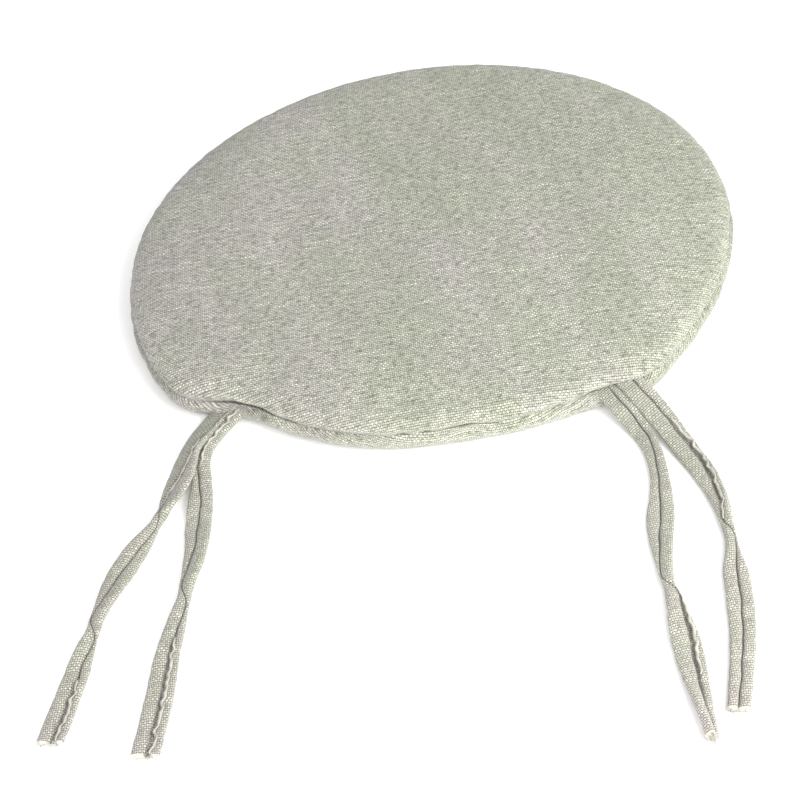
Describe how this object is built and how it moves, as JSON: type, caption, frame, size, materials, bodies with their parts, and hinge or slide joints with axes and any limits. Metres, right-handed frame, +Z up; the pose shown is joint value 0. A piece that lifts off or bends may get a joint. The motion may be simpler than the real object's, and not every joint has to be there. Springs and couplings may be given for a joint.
{
  "type": "chair seat pad",
  "caption": "Round, flat chair seat pad with a foam core in a woven two-panel cover, and two pairs of fabric ties at the front edge.",
  "frame": {"origin": "middle of the underside of the pad, without its ties, on the surface it lies on", "axes": "+Z up out of the seat, -Y towards the edge that carries the ties, +X to the right seen from that edge"},
  "size_m": [0.4, 0.6289, 0.0271],
  "materials": {
    "cover_fabric": "plain woven light grey melange, matt",
    "tie_fabric": "the cover's woven melange in folded strips, with raw cut ends",
    "foam": "open-cell upholstery foam",
    "sewing_thread": "grey polyester sewing thread"
  },
  "bodies": {
    "root": {"top_panel": "cover_fabric", "bottom_panel": "cover_fabric", "foam_core": "foam", "left_outer_tie": "tie_fabric", "left_inner_tie": "tie_fabric", "right_inner_tie": "tie_fabric", "right_outer_tie": "tie_fabric", "left_bar_tack": "sewing_thread", "right_bar_tack": "sewing_thread", "perimeter_seam_thread": "sewing_thread", "closing_seam_thread": "sewing_thread"}
  },
  "joints": []
}
